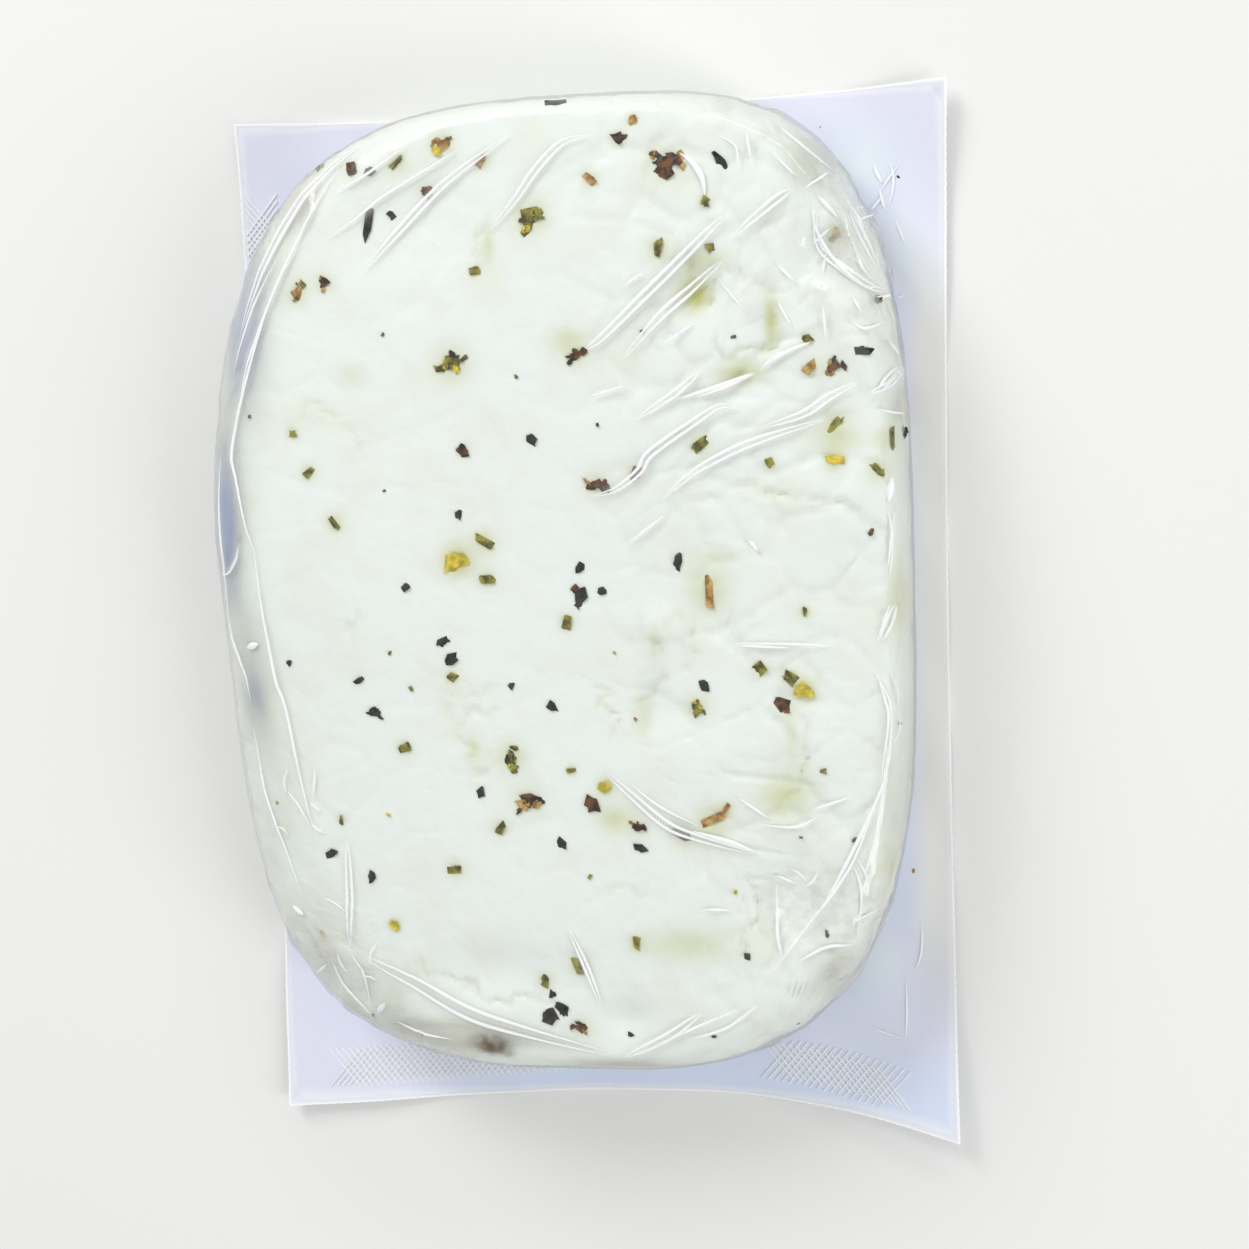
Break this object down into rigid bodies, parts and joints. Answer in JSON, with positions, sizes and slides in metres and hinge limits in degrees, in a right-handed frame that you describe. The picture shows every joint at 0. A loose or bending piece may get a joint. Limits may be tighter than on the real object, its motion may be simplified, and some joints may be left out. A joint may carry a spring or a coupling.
{
  "type": "vacuum-packed halloumi cheese",
  "caption": "Flat rounded block of herbed halloumi under clear shrunken film, sealed to a rectangular backing web.",
  "frame": {"origin": "middle of the flat underside of the backing web", "axes": "+Z out of the shown face, +Y towards the top edge of the pack, +X to the right of the shown face"},
  "size_m": [0.1041, 0.149, 0.0226],
  "materials": {
    "cheese_in_film": "white cheese with herb flakes under clear gloss film",
    "backing_web": "pale lavender barrier film, satin",
    "cheese": "moist white curd",
    "herb_dark": "dried leaf",
    "herb_olive": "dried leaf",
    "herb_brown": "dried flake",
    "herb_straw": "dried stalk",
    "herb_golden": "dried petal",
    "whey": "cloudy liquid",
    "film": "clear gloss shrink film"
  },
  "bodies": {
    "root": {"cheese_in_film": "cheese_in_film", "backing_web": "backing_web"}
  },
  "joints": []
}
